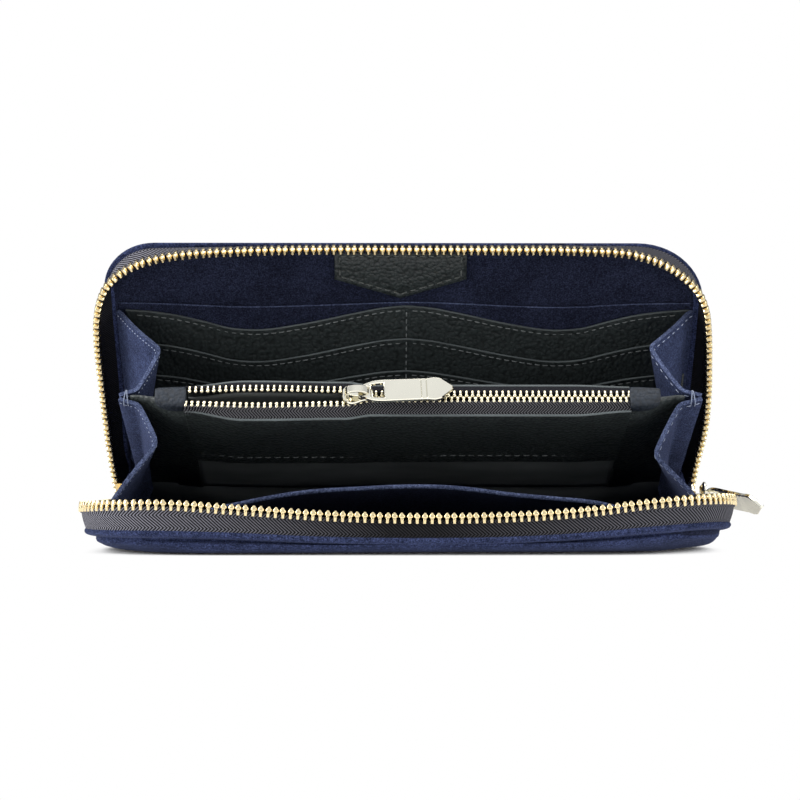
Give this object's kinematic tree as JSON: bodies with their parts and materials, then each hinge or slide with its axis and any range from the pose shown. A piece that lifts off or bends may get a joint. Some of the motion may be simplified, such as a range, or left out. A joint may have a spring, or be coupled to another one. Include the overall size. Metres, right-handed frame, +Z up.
{
  "type": "zip around wallet",
  "caption": "Long zip-around wallet in navy suede, lying open: divider with a zipped pocket, card slots, slip pockets, folding side gussets and metal zip.",
  "frame": {"origin": "centre of the lower cover's flat underside, where the wallet rests", "axes": "+X along the spine, -Y towards the opening, +Z up through the stacked covers"},
  "size_m": [0.2126, 0.1084, 0.0988],
  "materials": {
    "navy_suede": "napped suede",
    "black_leather": "pebbled, semi-matt",
    "black_lining": "smooth matt",
    "zip_tape": "woven herringbone",
    "gold_teeth": "polished pale gold",
    "champagne_metal": "polished champagne gold",
    "stiffener": "plain board"
  },
  "bodies": {
    "base": {"lower_cover": "navy_suede", "lower_board": "stiffener", "lower_lining": "navy_suede", "lower_slip_pocket": "navy_suede", "lower_tape": "zip_tape", "lower_teeth": "gold_teeth", "lower_top_stop": "champagne_metal", "bottom_stop": "champagne_metal"},
    "divider": {"divider_facing_upper": "black_leather", "divider_facing_lower": "black_leather", "divider_lining_upper": "black_lining", "divider_lining_lower": "black_lining", "divider_root": "black_lining", "divider_edge_left": "black_lining", "divider_edge_right": "black_lining", "divider_tab_left": "black_leather", "divider_tab_right": "black_leather", "spine_cover": "navy_suede", "spine_lining": "navy_suede"},
    "upper_cover": {"upper_cover": "navy_suede", "upper_board": "stiffener", "upper_lining": "navy_suede", "upper_slip_pocket": "navy_suede", "card_slot_1": "black_leather", "card_slot_2": "black_leather", "card_slot_3": "black_leather", "label_patch": "black_leather", "upper_tape": "zip_tape", "upper_teeth": "gold_teeth", "upper_top_stop": "champagne_metal"},
    "pocket_lip_upper": {"pocket_tape_upper": "zip_tape", "pocket_teeth_upper": "gold_teeth"},
    "pocket_lip_lower": {"pocket_tape_lower": "zip_tape", "pocket_teeth_lower": "gold_teeth"},
    "pocket_slider": {"pocket_slider": "champagne_metal"},
    "pocket_pull": {"pocket_pull_tab": "champagne_metal"},
    "outer_slider": {"outer_slider": "champagne_metal"},
    "outer_pull": {"outer_pull_tab": "champagne_metal"},
    "gusset_left_base": {"gusset_left_base": "navy_suede"},
    "gusset_left_below_divider": {"gusset_left_below_divider": "navy_suede"},
    "gusset_left_above_divider": {"gusset_left_above_divider": "navy_suede"},
    "gusset_left_top": {"gusset_left_top": "navy_suede"},
    "gusset_right_base": {"gusset_right_base": "navy_suede"},
    "gusset_right_below_divider": {"gusset_right_below_divider": "navy_suede"},
    "gusset_right_above_divider": {"gusset_right_above_divider": "navy_suede"},
    "gusset_right_top": {"gusset_right_top": "navy_suede"}
  },
  "joints": [
    {"name": "divider_open", "type": "hinge", "parent": "base", "child": "divider", "pos_m": [0, 0.046, 0.016], "axis": [-1, 0, 0], "range_deg": [-27.5, 9], "deforming": ["lower_slip_pocket"]},
    {"name": "cover_open", "type": "hinge", "parent": "divider", "child": "upper_cover", "pos_m": [0, 0.046, 0.016], "axis": [-1, 0, 0], "range_deg": [-27.5, 9]},
    {"name": "gusset_left_base_fold", "type": "hinge", "parent": "base", "child": "gusset_left_base", "pos_m": [-0.0915, 0.009, 0.0105], "axis": [0, -1, 0], "range_deg": [-45.5, 15]},
    {"name": "gusset_left_below_divider_fold", "type": "hinge", "parent": "divider", "child": "gusset_left_below_divider", "pos_m": [-0.088, 0.01133, 0.02954], "axis": [0, 0.887, -0.4617], "range_deg": [-45.5, 15]},
    {"name": "gusset_left_above_divider_fold", "type": "hinge", "parent": "divider", "child": "gusset_left_above_divider", "pos_m": [-0.088, 0.01503, 0.03663], "axis": [0, -0.887, 0.4617], "range_deg": [-45.5, 15]},
    {"name": "gusset_left_top_fold", "type": "hinge", "parent": "upper_cover", "child": "gusset_left_top", "pos_m": [-0.0915, 0.02928, 0.04946], "axis": [0, 0.5736, -0.8192], "range_deg": [-45.5, 15]},
    {"name": "gusset_right_base_fold", "type": "hinge", "parent": "base", "child": "gusset_right_base", "pos_m": [0.0915, 0.009, 0.0105], "axis": [0, 1, 0], "range_deg": [-45.5, 15]},
    {"name": "gusset_right_below_divider_fold", "type": "hinge", "parent": "divider", "child": "gusset_right_below_divider", "pos_m": [0.088, 0.01133, 0.02954], "axis": [0, -0.887, 0.4617], "range_deg": [-45.5, 15]},
    {"name": "gusset_right_above_divider_fold", "type": "hinge", "parent": "divider", "child": "gusset_right_above_divider", "pos_m": [0.088, 0.01503, 0.03663], "axis": [0, 0.887, -0.4617], "range_deg": [-45.5, 15]},
    {"name": "gusset_right_top_fold", "type": "hinge", "parent": "upper_cover", "child": "gusset_right_top", "pos_m": [0.0915, 0.02928, 0.04946], "axis": [0, -0.5736, 0.8192], "range_deg": [-45.5, 15]},
    {"name": "pocket_zip_slide", "type": "slide", "parent": "divider", "child": "pocket_slider", "axis": [1, 0, 0], "range_m": [-0.047, 0.076], "deforming": ["pocket_tape_upper", "pocket_teeth_upper", "pocket_tape_lower", "pocket_teeth_lower"]},
    {"name": "pocket_lip_upper_part", "type": "slide", "parent": "divider", "child": "pocket_lip_upper", "axis": [0, 0.4617, 0.887], "range_m": [-0.002, 0.0032]},
    {"name": "pocket_lip_lower_part", "type": "slide", "parent": "divider", "child": "pocket_lip_lower", "axis": [0, -0.4617, -0.887], "range_m": [-0.002, 0.0032]},
    {"name": "pocket_pull_swing", "type": "hinge", "parent": "pocket_slider", "child": "pocket_pull", "pos_m": [-0.0145, -0.02091, 0.04772], "axis": [0, -0.4617, -0.887], "range_deg": [0, 172]},
    {"name": "outer_zip_slide", "type": "slide", "parent": "base", "child": "outer_slider", "axis": [0, -1, 0], "range_m": [0, 0.052]},
    {"name": "outer_pull_swing", "type": "hinge", "parent": "outer_slider", "child": "outer_pull", "pos_m": [0.1005, 0.037, 0.016], "axis": [0, 0, 1], "range_deg": [-18, 138]}
  ],
  "couplings": [
    {"joint": "cover_open", "follows": "divider_open", "ratio": 1},
    {"joint": "gusset_left_base_fold", "follows": "divider_open", "ratio": 1.65},
    {"joint": "gusset_left_below_divider_fold", "follows": "divider_open", "ratio": 1.65},
    {"joint": "gusset_left_above_divider_fold", "follows": "divider_open", "ratio": 1.65},
    {"joint": "gusset_left_top_fold", "follows": "divider_open", "ratio": 1.65},
    {"joint": "gusset_right_base_fold", "follows": "divider_open", "ratio": 1.65},
    {"joint": "gusset_right_below_divider_fold", "follows": "divider_open", "ratio": 1.65},
    {"joint": "gusset_right_above_divider_fold", "follows": "divider_open", "ratio": 1.65},
    {"joint": "gusset_right_top_fold", "follows": "divider_open", "ratio": 1.65},
    {"joint": "pocket_lip_upper_part", "follows": "pocket_zip_slide", "ratio": 0.04},
    {"joint": "pocket_lip_lower_part", "follows": "pocket_zip_slide", "ratio": 0.04}
  ]
}
